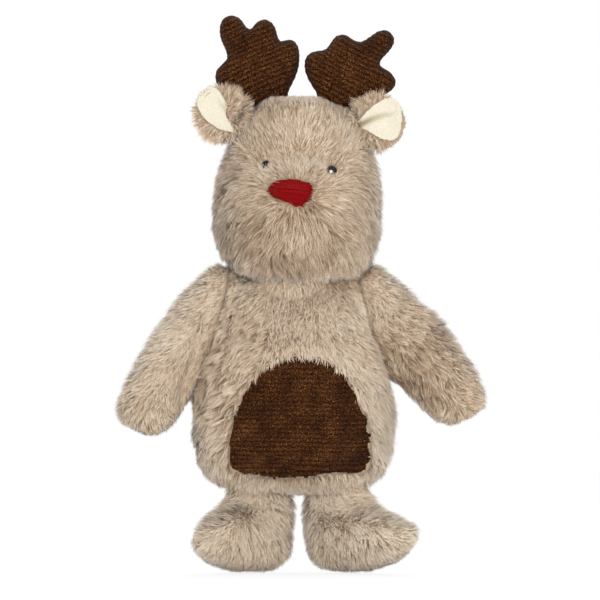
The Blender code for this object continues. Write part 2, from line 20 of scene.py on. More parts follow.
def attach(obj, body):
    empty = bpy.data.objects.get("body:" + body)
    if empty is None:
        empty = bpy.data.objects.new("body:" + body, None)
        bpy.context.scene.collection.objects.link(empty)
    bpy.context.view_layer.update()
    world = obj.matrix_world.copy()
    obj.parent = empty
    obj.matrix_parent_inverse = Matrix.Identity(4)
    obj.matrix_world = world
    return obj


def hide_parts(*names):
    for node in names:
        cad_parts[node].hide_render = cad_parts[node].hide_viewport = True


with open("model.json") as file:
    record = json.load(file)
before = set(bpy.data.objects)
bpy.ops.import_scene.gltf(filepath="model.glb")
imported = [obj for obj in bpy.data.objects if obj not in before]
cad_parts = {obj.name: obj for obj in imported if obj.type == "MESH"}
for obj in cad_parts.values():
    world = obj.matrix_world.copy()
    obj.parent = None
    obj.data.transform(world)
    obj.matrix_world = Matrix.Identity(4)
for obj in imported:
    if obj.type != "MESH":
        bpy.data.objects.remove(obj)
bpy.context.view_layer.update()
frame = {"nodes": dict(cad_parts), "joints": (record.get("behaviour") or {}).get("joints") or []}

mm = 0.001
chance = np.random.default_rng(23)

# The toy's middle, the size of the photograph's frame where the toy stands, and how many of
# its pixels the camera is to the right of the toy's middle and above the floor
neck_x, neck_y, neck_z = next(j["pos_m"] for j in frame["joints"] if j["name"] == "head_nod")
picture_width = 343.5 * mm
picture_pixels = 600
camera_pixels_right = 6
camera_pixels_up = 273.5
camera_distance = 5.0
crown_height = 262 * mm

# Pile: hair about 8 mm long that lies down on a knitted backing
backing_inset = 4.6 * mm
seam_inset = 0.2 * mm
strand_width = 0.24 * mm
strands_per_mm2 = 3.7
locks_per_mm2 = 1.9
tufts_per_mm2 = 0.07
strands_per_piece = 36000
strand_levels = (0.0, 0.34, 0.68, 1.0)
strand_taper = (1.0, 0.92, 0.62)
strand_lift = (66, 40, 24)
lock_pull = (0, 0.22, 0.36, 0.46)
tuft_pull = (0.0, 0.32, 0.56, 0.70)
tuft_gather = (0.0, 0.25, 0.50, 0.72)
strand_softness = 0.8

# How far hair strays from the comb to either side, and how far single strands are twisted
tuft_swirl = math.radians(26)
tuft_stray = math.radians(14)
lock_stray = math.radians(17)
strand_stray = math.radians(12)
strand_twist = math.radians(32)

# The shares of its length and of its lift that hair keeps beside another piece
length_at_seam = 0.42
lift_at_seam = 0.25

# Ribbed cord of the antlers and the belly patch
rib_pitch = 2.6 * mm
rib_height = 0.42 * mm

# How the pile is combed, seen from the front: place across and up in millimetres, the way it
# lies in degrees from the viewer's right, its length in millimetres and how tufted it is
head_comb = (
    (-1, 272, 90, 4.2, 0.6), (-20, 268, 100, 4.6, 0.8), (20, 268, 80, 4.6, 0.8),
    (-1, 250, 91, 6.5, 0.2), (-24, 250, 106, 6.5, 0.25), (24, 248, 74, 6.5, 0.15),
    (-38, 236, 205, 6.5, 0.4), (38, 236, -25, 6.5, 0.2), (-1, 235, 92, 5.0, 0.3),
    (-15, 234, 120, 5.0, 0.3), (15, 232, 60, 5.0, 0.3), (-14, 224, 150, 5.5, 0.5),
    (13, 224, 30, 5.5, 0.4), (-24, 216, 190, 8.0, 0.6), (20, 216, -12, 8.0, 0.4),
    (-44, 215, 236, 7.0, 0.9), (42, 215, 296, 6.5, 0.2), (-34, 202, 226, 9.0, 1.0),
    (28, 202, 312, 9.0, 0.5), (-16, 200, 246, 10.0, 0.7), (8, 200, 292, 10.0, 0.6),
    (-5, 196, 268, 10.0, 0.7), (-34, 186, 246, 9.5, 1.0), (30, 186, 300, 10.0, 0.6),
    (-5, 180, 270, 10.5, 0.9), (-44, 188, 258, 6.5, 0.9), (42, 188, 290, 8.0, 0.4),
    (-20, 172, 255, 9.5, 0.8), (12, 172, 282, 9.5, 0.7),
)
torso_comb = (
    (-3, 160, 270, 7.5, 0.3), (-26, 164, 255, 8.0, 0.4), (24, 164, 285, 8.0, 0.3),
    (-3, 138, 268, 8.0, 0.3), (-28, 140, 240, 8.5, 0.9), (-36, 150, 232, 9.0, 0.9),
    (-42, 118, 236, 9.0, 1.0), (24, 140, 276, 7.5, 0.05), (38, 148, 305, 8.5, 0.3),
    (42, 126, 302, 8.5, 0.3),
    (-3, 124, 268, 7.5, 0.35), (-34, 122, 256, 8.5, 1.0), (30, 122, 280, 7.5, 0.05),
    (-46, 100, 256, 8.5, 1.0), (42, 100, 277, 8.0, 0.05), (-52, 76, 260, 7.5, 0.9),
    (46, 76, 276, 7.0, 0.05), (-44, 56, 255, 7.0, 0.7), (40, 56, 286, 6.5, 0.2),
    (-3, 50, 270, 7.0, 0.5), (-24, 51, 262, 9.5, 0.5), (20, 51, 282, 9.5, 0.6),
)
left_arm_comb = (
    (-36, 168, 215, 4.5, 0.2), (-42, 145, 215, 8.0, 0.3), (-50, 132, 225, 8.0, 0.4),
    (-58, 150, 230, 7.0, 0.2), (-66, 134, 232, 7.5, 0.2), (-72, 112, 236, 8.0, 0.25),
    (-88, 118, 236, 6.5, 0.2), (-60, 110, 235, 8.0, 0.4), (-100, 100, 240, 6.5, 0.3),
    (-84, 98, 240, 7.5, 0.3), (-68, 96, 280, 7.5, 0.5), (-88, 84, 268, 7.5, 0.6),
    (-102, 88, 236, 7.5, 0.5), (-72, 86, 320, 7.5, 0.5),
)
right_arm_comb = (
    (34, 168, 325, 4.5, 0.2), (42, 150, 305, 8.5, 0.5), (54, 152, 306, 8.0, 0.4),
    (52, 134, 318, 9.0, 0.9), (68, 136, 306, 8.5, 0.7), (66, 116, 316, 9.5, 0.9),
    (84, 118, 300, 8.5, 0.6), (74, 102, 325, 9.5, 0.9), (96, 106, 345, 8.0, 0.5),
    (88, 92, 275, 8.0, 0.6), (102, 92, 350, 8.0, 0.5), (80, 90, 235, 8.5, 0.8),
    (94, 80, 285, 7.5, 0.5), (62, 108, 320, 9.5, 0.9),
)
left_leg_comb = (
    (-22, 48, 264, 8.0, 0.3), (-32, 36, 255, 8.5, 0.25), (-16, 36, 276, 8.0, 0.3),
    (-34, 28, 248, 8.5, 0.25), (-46, 24, 232, 8.0, 0.3), (-55, 16, 222, 6.0, 0.3),
    (-24, 20, 262, 8.0, 0.3), (-8, 18, 285, 6.5, 0.3), (-30, 6, 264, 6.5, 0.3), (-48, 6, 245, 6.0, 0.3),
)
right_leg_comb = (
    (14, 48, 285, 8.0, 0.3), (30, 46, 310, 8.5, 0.45), (6, 34, 275, 6.5, 0.3), (18, 34, 325, 8.5, 0.5),
    (30, 34, 335, 8.5, 0.55), (42, 26, 340, 8.5, 0.5), (5, 18, 275, 6.0, 0.3), (18, 18, 325, 8.5, 0.5),
    (32, 18, 320, 8.5, 0.55), (56, 22, 335, 6.5, 0.3), (62, 14, 320, 5.0, 0.3),
    (34, 6, 285, 7.0, 0.4), (54, 6, 300, 6.0, 0.3), (12, 6, 270, 6.0, 0.4),
)


def hex_colour(code):
    """An sRGB hex colour as linear red, green, blue and alpha."""
    shares = [int(code[place:place + 2], 16) / 255 for place in (0, 2, 4)]
    return (*(c / 12.92 if c <= 0.04045 else ((c + 0.055) / 1.055) ** 2.4 for c in shares), 1.0)


def add_node(tree, kind, inputs=None, stops=(), **settings):
    """Adds a shader node with its settings, links or values, and a ramp's places and colours."""
    made = tree.nodes.new(kind)
    for name, value in settings.items():
        setattr(made, name, value)
    for name, value in (inputs or {}).items():
        if isinstance(value, bpy.types.NodeSocket):
            tree.links.new(value, made.inputs[name])
        else:
            made.inputs[name].default_value = value
    for number, (place, code) in enumerate(stops):
        if number == len(made.color_ramp.elements):
            made.color_ramp.elements.new(place)
        made.color_ramp.elements[number].position = place
        made.color_ramp.elements[number].color = hex_colour(code)
    return made


def new_finish(name, roughness, sheen, specular=0.3):
    """A material with one shader, whose even values sit on its own sockets."""
    material = bpy.data.materials.new(name)
    material.use_nodes = True
    shader = material.node_tree.nodes["Principled BSDF"]
    for socket, value in (("Roughness", roughness), ("Sheen Weight", sheen),
                          ("Sheen Roughness", 0.5), ("Specular IOR Level", specular)):
        shader.inputs[socket].default_value = value
    return material, material.node_tree, shader


def polyester_plush_pile():
    """Dyed polyester hair: soft and matt, pale at the tips, and darker towards the roots as painted shade
    deep in the pile.
    """
    material, tree, shader = new_finish("polyester_plush_pile", 0.75, 0.6, specular=0.2)
    where = add_node(tree, "ShaderNodeUVMap", uv_map="OFBake")
    parts = add_node(tree, "ShaderNodeSeparateXYZ", {0: where.outputs["UV"]})
    shade = add_node(tree, "ShaderNodeValToRGB", {0: parts.outputs["X"]}, stops=(
        (0.0, "927a63"), (0.25, "c0aa91"), (0.5, "dec8ad"), (0.75, "eedcc5"), (1.0, "fcf3e4")))
    # Darker towards the roots: painted shade deep in the pile
    along = add_node(tree, "ShaderNodeValToRGB", {0: parts.outputs["Y"]}, stops=(
        (0.0, "b3a597"), (0.35, "e0d8d0"), (0.7, "f8f6f3"), (1.0, "ffffff")))
    colour = add_node(tree, "ShaderNodeMix", {"Factor": 1.0, 6: shade.outputs[0],
                      7: along.outputs[0]}, data_type="RGBA", blend_type="MULTIPLY")
    tree.links.new(colour.outputs[2], shader.inputs["Base Color"])
    return material


def knitted_backing():
    """The knitted base that the hair stands on, seen only in the partings; its colour is the fabric's,
    darkened as painted shade of the partings.
    """
    material, tree, shader = new_finish("knitted_backing", 0.9, 0.2)
    where = add_node(tree, "ShaderNodeTexCoord")
    # Knit loops about 0.8 mm apart
    loops = add_node(tree, "ShaderNodeTexNoise", {"Vector": where.outputs["Object"],
                     "Scale": 1 / (0.8 * mm), "Detail": 3.0})
    # Darker than the hair: painted shade of the partings
    colour = add_node(tree, "ShaderNodeValToRGB", {0: loops.outputs["Fac"]},
                      stops=((0.3, "a08c78"), (0.7, "c2ae98")))
    tree.links.new(colour.outputs[0], shader.inputs["Base Color"])
    return material


def ribbed_cord():
    """Brown ribbed cord: heathered yarn, with painted shade between its ribs, and a dry sheen."""
    material, tree, shader = new_finish("ribbed_cord", 0.95, 0.03, specular=0.08)
    where = add_node(tree, "ShaderNodeTexCoord")
    # Knit loops about 0.4 mm apart
    specks = add_node(tree, "ShaderNodeTexNoise", {"Vector": where.outputs["Object"],
                      "Scale": 1 / (0.4 * mm), "Detail": 2.0, "Roughness": 0.6})
    patches = add_node(tree, "ShaderNodeTexNoise", {"Vector": where.outputs["Object"],
                       "Scale": 1 / (22 * mm), "Detail": 1.0})
    rib = add_node(tree, "ShaderNodeAttribute", attribute_name="rib")
    colour = add_node(tree, "ShaderNodeValToRGB", {0: specks.outputs["Fac"]}, stops=(
        (0.36, "120602"), (0.48, "321608"), (0.56, "4e2a10"), (0.67, "b8834a"))).outputs[0]
    # Its grooves are darkened as painted shade, and the dye is uneven over a few centimetres
    for tint_by, stops in ((rib, ((0.0, "4c4038"), (0.5, "b0a8a0"), (1.0, "ffffff"))),
                           (patches, ((0.3, "d0c8c2"), (0.7, "ffffff")))):
        tint = add_node(tree, "ShaderNodeValToRGB", {0: tint_by.outputs["Fac"]}, stops=stops)
        tinted = add_node(tree, "ShaderNodeMix", {"Factor": 1.0, 6: colour, 7: tint.outputs[0]},
                          data_type="RGBA", blend_type="MULTIPLY")
        colour = tinted.outputs[2]
    relief = add_node(tree, "ShaderNodeBump", {"Height": specks.outputs["Fac"], "Strength": 0.6,
                      "Distance": 0.35 * mm})
    tree.links.new(colour, shader.inputs["Base Color"])
    tree.links.new(relief.outputs["Normal"], shader.inputs["Normal"])
    return material


def cream_short_plush():
    """Short brushed plush: a fine, even nap, with painted shade darkening its fold."""
    material, tree, shader = new_finish("cream_short_plush", 0.9, 0.4)
    where = add_node(tree, "ShaderNodeTexCoord")
    # Nap about 0.7 mm across a lock
    nap = add_node(tree, "ShaderNodeTexNoise", {"Vector": where.outputs["Object"],
                   "Scale": 1 / (0.7 * mm), "Detail": 3.0})
    nap_colour = add_node(tree, "ShaderNodeValToRGB", {0: nap.outputs["Fac"]},
                          stops=((0.3, "c7c2b1"), (0.7, "dedacb")))
    # The fold's value darkens the nap: painted shade in the crease
    fold = add_node(tree, "ShaderNodeAttribute", attribute_name="fold")
    fold_painted_shade = add_node(tree, "ShaderNodeValToRGB", {0: fold.outputs["Fac"]},
                         stops=((0.0, "ffffff"), (1.0, "b9ad90")))
    colour = add_node(tree, "ShaderNodeMix", {"Factor": 1.0, 6: nap_colour.outputs[0],
                      7: fold_painted_shade.outputs[0]}, data_type="RGBA", blend_type="MULTIPLY")
    relief = add_node(tree, "ShaderNodeBump", {"Height": nap.outputs["Fac"], "Strength": 0.5,
                      "Distance": 0.25 * mm})
    tree.links.new(colour.outputs[2], shader.inputs["Base Color"])
    tree.links.new(relief.outputs["Normal"], shader.inputs["Normal"])
    return material


def rayon_thread(name, dark, light, specular):
    """Embroidery thread: smooth twisted filament with a silky shine, and painted light and dark bands of
    sheen along each stitch where it twists.
    """
    material, tree, shader = new_finish(name, 0.6, 0.0, specular=specular)
    where = add_node(tree, "ShaderNodeUVMap", uv_map="OFBake")
    parts = add_node(tree, "ShaderNodeSeparateXYZ", {0: where.outputs["UV"]})
    # The twist of the filaments repeats about every 2 mm along a stitch of 25 mm, painted as bands of
    # highlight and shade
    turns = 12
    twist = add_node(tree, "ShaderNodeMath", {0: parts.outputs["Y"], 1: turns * math.tau},
                     operation="MULTIPLY")
    twist = add_node(tree, "ShaderNodeMath", {0: twist.outputs[0]}, operation="SINE")
    shade = add_node(tree, "ShaderNodeMath", {0: twist.outputs[0], 1: 0.12, 2: parts.outputs["X"]},
                     operation="MULTIPLY_ADD")
    colour = add_node(tree, "ShaderNodeValToRGB", {0: shade.outputs[0]},
                      stops=((0.1, dark), (0.9, light)))
    tree.links.new(colour.outputs[0], shader.inputs["Base Color"])
    return material


pile_finish = polyester_plush_pile()
backing_finish = knitted_backing()
cord_finish = ribbed_cord()
cream_finish = cream_short_plush()
red_thread = rayon_thread("red_rayon_thread", "4a0408", "8a070b", 0.06)
black_thread = rayon_thread("black_rayon_thread", "080707", "181515", 0.3)
white_thread = rayon_thread("white_rayon_thread", "e4e4e0", "ffffff", 0.3)


def new_object(name, mesh, finish=None):
    piece = bpy.data.objects.new(name, mesh)
    bpy.context.scene.collection.objects.link(piece)
    if finish:
        mesh.materials.append(finish)
    return piece


def modify(piece, kind, **settings):
    """Gives a piece a modifier, and makes its result the piece's mesh."""
    modifier = piece.modifiers.new(kind, kind)
    for name, value in settings.items():
        setattr(modifier, name, value)
    bpy.context.view_layer.update()
    graph = bpy.context.evaluated_depsgraph_get()
    mesh = bpy.data.meshes.new_from_object(piece.evaluated_get(graph))
    piece.modifiers.clear()
    piece.data = mesh


def move_points(piece, points):
    """Puts a piece's points at new places, and shades it smoothly."""
    piece.data.vertices.foreach_set("co", points.ravel())
    piece.data.shade_smooth()


def soft_form(name, nodes, voxel=2.0 * mm, passes=8):
    """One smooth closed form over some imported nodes."""
    form = bmesh.new()
    for node in nodes:
        form.from_mesh(frame["nodes"][node].data)
    mesh = bpy.data.meshes.new(name)
    form.to_mesh(mesh)
    form.free()
    piece = new_object(name, mesh)
    modify(piece, "REMESH", mode="VOXEL", voxel_size=voxel)
    keep_outside(piece.data)
    modify(piece, "SMOOTH", iterations=passes)
    piece.data.materials.clear()
    piece.data.shade_smooth()
    return piece


def keep_outside(mesh):
    """Removes every closed surface but the largest, such as gaps inside the form."""
    shell = bmesh.new()
    shell.from_mesh(mesh)
    seen, groups = set(), []
    for start in shell.verts:
        if start in seen:
            continue
        group, waiting = [], [start]
        seen.add(start)
        while waiting:
            vert = waiting.pop()
            group.append(vert)
            for edge in vert.link_edges:
                other = edge.other_vert(vert)
                if other not in seen:
                    seen.add(other)
                    waiting.append(other)
        groups.append(group)
    groups.sort(key=len)
    for group in groups[:-1]:
        bmesh.ops.delete(shell, geom=group, context="VERTS")
    shell.to_mesh(mesh)
    shell.free()


def surface_arrays(mesh):
    """Points, normals and triangles of a mesh as arrays."""
    mesh.calc_loop_triangles()
    arrays = []
    for items, value, kind in ((mesh.vertices, "co", float), (mesh.vertex_normals, "vector", float),
                               (mesh.loop_triangles, "vertices", np.int32)):
        array = np.zeros(len(items) * 3, kind)
        items.foreach_get(value, array)
        arrays.append(array.reshape(-1, 3))
    return arrays


def add_values(mesh, name, values):
    """Keeps a value at each point of a mesh, for its material to read."""
    kept = mesh.attributes.new(name, "FLOAT", "POINT")
    kept.data.foreach_set("value", np.array(values, np.float32))


def add_map(mesh, places):
    """Gives a mesh its map, with a place on it for each point."""
    corners = np.zeros(len(mesh.loops), np.int32)
    mesh.loops.foreach_get("vertex_index", corners)
    uv = mesh.uv_layers.new(name="OFBake")
    uv.data.foreach_set("uv", np.array(places)[corners].ravel())


def unit(vectors):
    return vectors / np.maximum(np.linalg.norm(vectors, axis=1, keepdims=True), 1e-9)


def between(low, high, share):
    return low + (high - low) * share


def ramp(value, start, end):
    """From 0 at the start to 1 at the end, and level beyond them."""
    return np.clip((value - start) / (end - start), 0, 1)


def bump(value, middle, reach):
    """A smooth swelling that fades out from its middle."""
    return np.exp(-((value - middle) / reach) ** 2)


def scatter(mesh, per_mm2, held):
    """Even random places on a mesh, with the normal and the value of what its points hold."""
    points, normals, corners = surface_arrays(mesh)
    a, b, c = (points[corners[:, i]] for i in range(3))
    areas = np.linalg.norm(np.cross(b - a, c - a), axis=1) / 2
    count = int(areas.sum() / mm ** 2 * per_mm2)
    chosen = chance.choice(len(corners), count, p=areas / areas.sum())
    share = np.sqrt(chance.random(count))
    other = chance.random(count)
    weights = np.stack((1 - share, share * (1 - other), share * other), axis=1)
    places, facing, value = (np.einsum("ij,ijk->ik", weights, values[corners[chosen]])
                             for values in (points, normals, held))
    return places, unit(facing), value


def waves(points, size, seed):
    """A smooth random value from -1 to 1 that changes over about that size."""
    source = np.random.default_rng(seed)
    total = np.zeros(len(points))
    for _ in range(10):
        direction = source.normal(size=3)
        direction *= math.tau / (size * source.uniform(1.2, 3.0)) / np.linalg.norm(direction)
        total += np.sin(points @ direction + source.uniform(0, math.tau))
    return np.clip(total / 3.6, -1, 1)


def combed(comb, points):
    """The way that the pile lies, its length and how tufted it is, between the comb's places."""
    marks = np.array(comb, float)
    across = points[:, None, 0] - marks[None, :, 0] * mm
    up = points[:, None, 2] - marks[None, :, 1] * mm
    weights = 1 / (across ** 2 + up ** 2 + (5 * mm) ** 2) ** 2
    weights /= weights.sum(axis=1, keepdims=True)
    turn = np.radians(marks[:, 2])
    side, rise, lengths, tufted = ((weights * values).sum(axis=1) for values in (
        np.cos(turn), np.sin(turn), marks[:, 3] * mm, marks[:, 4]))
    # Behind, the pile runs down and a little outward, and over the crown it runs back
    behind = ramp(points[:, 1], neck_y, neck_y + 14 * mm)
    over = ramp(points[:, 2], crown_height, crown_height + 14 * mm) * (1 - behind)
    side = between(side, points[:, 0] / (120 * mm), behind)
    rise = between(rise, -1, behind)
    return unit(np.stack((side, over * 0.45, rise), axis=1)), lengths, tufted


def turned(vectors, axes, angles):
    """Vectors turned about unit axes."""
    cos, sin = np.cos(angles)[:, None], np.sin(angles)[:, None]
    along = (vectors * axes).sum(axis=1, keepdims=True) * axes
    return vectors * cos + np.cross(axes, vectors) * sin + along * (1 - cos)


def hair_line(roots, normals, lay, lengths, lift):
    """The points of hairs that rise from the skin and lie down along their comb."""
    flat = lay - (lay * normals).sum(axis=1, keepdims=True) * normals
    flat = flat / (np.linalg.norm(flat, axis=1, keepdims=True) + 0.12)
    line = [roots]
    for level, angle in enumerate(strand_lift):
        rise = np.radians(angle) * lift
        step = strand_levels[level + 1] - strand_levels[level]
        heading = unit(flat * np.cos(rise)[:, None] + normals * np.sin(rise)[:, None])
        line.append(line[-1] + heading * (lengths * step)[:, None])
    return line


def tree_of_points(places):
    """A search tree over places, which are known by their numbers."""
    tree = KDTree(len(places))
    for number, place in enumerate(places):
        tree.insert(place, number)
    tree.balance()
    return tree


def nearest_of(points, marks):
    """The number of the nearest mark to each point."""
    tree = tree_of_points(marks)
    return np.array([tree.find(point)[1] for point in points])


def grow_pile(name, skin, held, lay_of, trim, body, painted_light_offset=0.0, pressed=0.35):
    """A pile of tapered strands on a skin, in fine locks that are gathered into tufts.

    What the skin's points hold is the room for hair over them and how deep the skin lies.
    Pressed is the share by which hair is shorter on the underside.
    """
    def cut(lengths, normals, room):
        lengths = lengths * between(length_at_seam, 1, room[:, 1])
        return lengths * (1 - pressed * np.clip(-normals[:, 2], 0, 1))

    tufts, tuft_normals, tuft_room = scatter(skin.data, tufts_per_mm2, held)
    tuft_lay, tuft_lengths, tufted = lay_of(tufts)
    swirl = waves(tufts, 14 * mm, 5) * tuft_swirl + chance.normal(0, tuft_stray, len(tufts))
    swirl = swirl * (0.35 + 0.9 * tufted)
    tuft_lay = turned(tuft_lay, tuft_normals, swirl)
    tuft_lengths = cut(tuft_lengths * chance.uniform(0.86, 1.16, len(tufts)), tuft_normals, tuft_room)
    tuft_lift = 1 + waves(tufts, 9 * mm, 8) * 0.25 + chance.normal(0, 0.10, len(tufts))
    tuft_lift = np.clip(tuft_lift, 0.4, 1.5) * between(lift_at_seam, 1, tuft_room[:, 0])
    tuft_lines = hair_line(tufts, tuft_normals, tuft_lay, tuft_lengths, tuft_lift)
    tuft_shade = waves(tufts, 20 * mm, 3) * 0.10 + chance.normal(0, 0.05, len(tufts))

    roots, normals, room = scatter(skin.data, strands_per_mm2, held)
    keep, short = trim(roots, normals)
    roots, normals, room, short = roots[keep], normals[keep], room[keep], short[keep]
    count = len(roots)
    locks = roots[chance.choice(count, int(count * locks_per_mm2 / strands_per_mm2), replace=False)]
    tuft = nearest_of(roots, tufts)
    lock = nearest_of(roots, locks)

    def by_lock(middle, spread):
        """A random value for each lock, which its strands share."""
        return chance.normal(middle, spread, len(locks))[lock]

    stray = by_lock(0, lock_stray)
    lay, lengths, tufted = lay_of(roots)
    mussed = 0.7 + 0.9 * tufted
    bend = swirl[tuft] * 0.6 + stray * mussed + chance.normal(0, strand_stray, count)
    lay = turned(lay, normals, bend)
    uneven = by_lock(1, 0.12) * chance.uniform(0.82, 1.08, count)
    lengths = cut(lengths * uneven * short, normals, room)
    lift = tuft_lift[tuft] + by_lock(0, 0.22) * mussed + chance.normal(0, 0.16, count)
    line = []
    for level, place in enumerate(hair_line(roots, normals, lay, lengths, np.clip(lift, 0.25, 1.6))):
        place = place + (locks[lock] - roots) * lock_pull[level]
        gathered = tuft_lines[level][tuft] + (roots - tufts[tuft]) * (1 - tuft_gather[level])
        place = between(place, gathered, tuft_pull[level] * (tufted * room[:, 0] * short)[:, None])
        place[:, 2] = np.maximum(place[:, 2], 0.3 * mm)
        line.append(place)

    # Smoothly combed fur is painted lighter, as the light it catches, and mussed fur painted darker, as
    # shade over its dull lower part
    shade = 0.5 + (1.2 * tuft_shade[tuft] + by_lock(0, 0.15)) * mussed + (0.5 - tufted) * 0.55
    # Each piece's offset lightens or darkens its whole pile as painted light and shade
    shade = np.clip(shade + chance.normal(0, 0.27, count) + painted_light_offset, 0.03, 0.97)
    parts = math.ceil(count / strands_per_piece)
    band = np.zeros(count, int)
    band[np.argsort(roots[:, 1], kind="stable")] = np.arange(count) * parts // count
    for part in range(parts):
        chosen = band == part
        label = name if parts == 1 else f"{name}_{part + 1}"
        mesh = strand_mesh(label, [place[chosen] for place in line], normals[chosen], shade[chosen])
        piece = new_object(label, mesh, pile_finish)
        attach(piece, body)


def strand_mesh(name, line, normals, shade):
    """Flat tapered strands through lines of points, each with its shade and length as its map."""
    count = len(shade)
    twist = chance.normal(0, strand_twist, count)
    verts = np.zeros((count, 7, 3))
    for level in range(3):
        heading = unit(line[level + 1] - line[level])
        across = turned(unit(np.cross(heading, normals)), heading, twist)
        half = across * strand_width / 2 * strand_taper[level]
        verts[:, level * 2] = line[level] - half
        verts[:, level * 2 + 1] = line[level] + half
    verts[:, 6] = line[3]
    pattern = np.array((0, 1, 3, 2, 2, 3, 5, 4, 4, 5, 6))
    corners = (np.arange(count)[:, None] * 7 + pattern[None, :]).ravel()
    sizes = np.tile((4, 4, 3), count)
    starts = np.concatenate(((0,), np.cumsum(sizes)[:-1]))
    mesh = bpy.data.meshes.new(name)
    mesh.vertices.add(count * 7)
    mesh.loops.add(len(corners))
    mesh.polygons.add(len(sizes))
    mesh.vertices.foreach_set("co", verts.ravel())
    mesh.loops.foreach_set("vertex_index", corners.astype(np.int32))
    mesh.polygons.foreach_set("loop_start", starts.astype(np.int32))
    mesh.polygons.foreach_set("loop_total", sizes.astype(np.int32))
    mesh.polygons.foreach_set("use_smooth", np.ones(len(sizes), bool))
    mesh.update()
    levels = np.array((0, 0, 1, 1, 2, 2, 3))
    places = np.zeros((count, 7, 2))
    places[:, :, 0] = shade[:, None] + np.array((-1, 1, -1, 1, -1, 1, 0)) * 0.004
    places[:, :, 1] = np.array(strand_levels)[levels] * 0.96 + 0.02
    add_map(mesh, places.reshape(-1, 2))
    # A strand is lit as the fur round it is, more than as a flat blade
    soft = np.repeat(normals, 7, axis=0).reshape(count, 7, 3) * strand_softness
    for level in range(4):
        heading = unit(line[min(level, 2) + 1] - line[min(level, 2)])
        blade = unit(normals - (normals * heading).sum(axis=1, keepdims=True) * heading)
        for vert in (level * 2, level * 2 + 1)[:1 if level == 3 else 2]:
            soft[:, vert] += blade * (1 - strand_softness)
    mesh.normals_split_custom_set_from_vertices(unit(soft.reshape(-1, 3)))
    return mesh


def tree_of(piece):
    """A search tree over a piece's surface."""
    faces = [list(polygon.vertices) for polygon in piece.data.polygons]
    return BVHTree.FromPolygons([v.co for v in piece.data.vertices], faces)


def first_hit(tree, x, z, inside):
    """Where a surface is met first from the front, or is nearest to a place inside, and its normal."""
    hit, normal, _, _ = tree.ray_cast(Vector((x, -0.2, z)), Vector((0, 1, 0)))
    if hit is None:
        hit, normal, _, _ = tree.find_nearest(Vector((x, inside, z)))
    return hit, normal


# The outer forms of all the pieces, which tell each pile where another piece is close
outer_nodes = {
    "torso": ("body_cover", "body_filling", "belly_patch"),
    "head": ("head_cover", "head_filling", "nose", "left_eye", "right_eye"),
}
for limb in ("left_arm", "right_arm", "left_leg", "right_leg"):
    outer_nodes[limb] = (f"{limb}_cover", f"{limb}_filling")
forms = {body: soft_form(f"{body}_form", nodes) for body, nodes in outer_nodes.items()}
form_trees = {body: tree_of(form) for body, form in forms.items()}


def room_round(points, normals, others):
    """How much room hair has over each point, and how far the point is from another piece."""
    held = np.ones((len(points), 2))
    for other in others:
        tree = form_trees[other]
        for number, (point, normal) in enumerate(zip(points, normals)):
            found = tree.find_nearest(Vector(point), 12 * mm)
            if found[0] is None:
                continue
            near = min(max((found[3] - 0.5 * mm) / (3.5 * mm), 0), 1)
            held[number, 1] = min(held[number, 1], near)
            ahead = tree.ray_cast(Vector(point), Vector(normal), 9 * mm)
            if ahead[0] is not None:
                held[number, 0] = min(held[number, 0], ahead[3] / (4 * mm))
    return held


def skin_under(name, nodes, others, squeeze):
    """The knitted skin under the pile: deep where it is free, shallow where two pieces meet.

    The squeeze is told the points' places in millimetres, with y counted back from the neck,
    and says how many millimetres they move across, back and up.
    """
    skin = soft_form(name, nodes)
    points, normals, _ = surface_arrays(skin.data)
    held = room_round(points, normals, others)
    points = points - normals * between(seam_inset, backing_inset, held[:, 1])[:, None]
    x, y, z = points.T / mm
    move_points(skin, points + np.stack(squeeze(x, y - neck_y / mm, z), axis=1) * mm)
    modify(skin, "SMOOTH", iterations=4)
    skin.data.materials.append(backing_finish)
    return skin, held


def inside_outline(across, up, outline):
    """Which points lie inside a closed outline."""
    inside = np.zeros(len(across), bool)
    points = np.array(outline)
    for (x0, z0), (x1, z1) in zip(points, np.roll(points, -1, axis=0)):
        crosses = (z0 > up) != (z1 > up)
        if z0 != z1:
            inside ^= crosses & (across < (x1 - x0) * (up - z0) / (z1 - z0) + x0)
    return inside


def hull_outline(points):
    """The convex outline round flat points."""
    ordered = sorted(map(tuple, points))
    sides = []
    for run in (ordered, ordered[::-1]):
        side = []
        for point in run:
            while len(side) > 1:
                (ax, ay), (bx, by) = side[-2], side[-1]
                if (bx - ax) * (point[1] - ay) - (by - ay) * (point[0] - ax) > 0:
                    break
                side.pop()
            side.append(point)
        sides += side[:-1]
    return sides


def node_points(node):
    return surface_arrays(frame["nodes"][node].data)[0]


def grown_outline(outline, distance):
    """An outline moved away from its middle."""
    points = np.array(outline)
    middle = points.mean(axis=0)
    reach = np.linalg.norm(points - middle, axis=1, keepdims=True)
    return middle + (points - middle) * (1 + distance / reach)


patch_outline = hull_outline(node_points("belly_patch")[:, (0, 2)])
patch_low, patch_high = np.min(patch_outline, axis=0), np.max(patch_outline, axis=0)
nose_outline = np.array(((-17.9, 218.4), (-17.3, 220.8), (-15.4, 222.8), (-12.6, 224.2), (-9.2, 224.9),
                         (-5.6, 225.1), (-1.8, 224.9), (1.8, 224.3), (5.2, 223.3), (7.9, 221.8),
                         (9.0, 219.6), (8.8, 216.8), (7.8, 214.2), (5.8, 211.8), (3.0, 210.2),
                         (0.0, 209.4), (-2.8, 209.8), (-6.0, 211.4), (-10.2, 213.0), (-14.2, 214.7),
                         (-16.8, 216.4))) * mm
hem_line = np.array(((-38.8, 59.8), (-33.1, 58.1), (-18.7, 56.7), (-10.7, 55.2), (-2.7, 55.3),
                     (11.0, 57.1), (23.0, 58.4), (35.1, 57.5), (39.7, 59.8))) * mm
left_eye_place = np.array((-18.2, 233.2)) * mm
right_eye_place = np.array((18.7, 230.1)) * mm


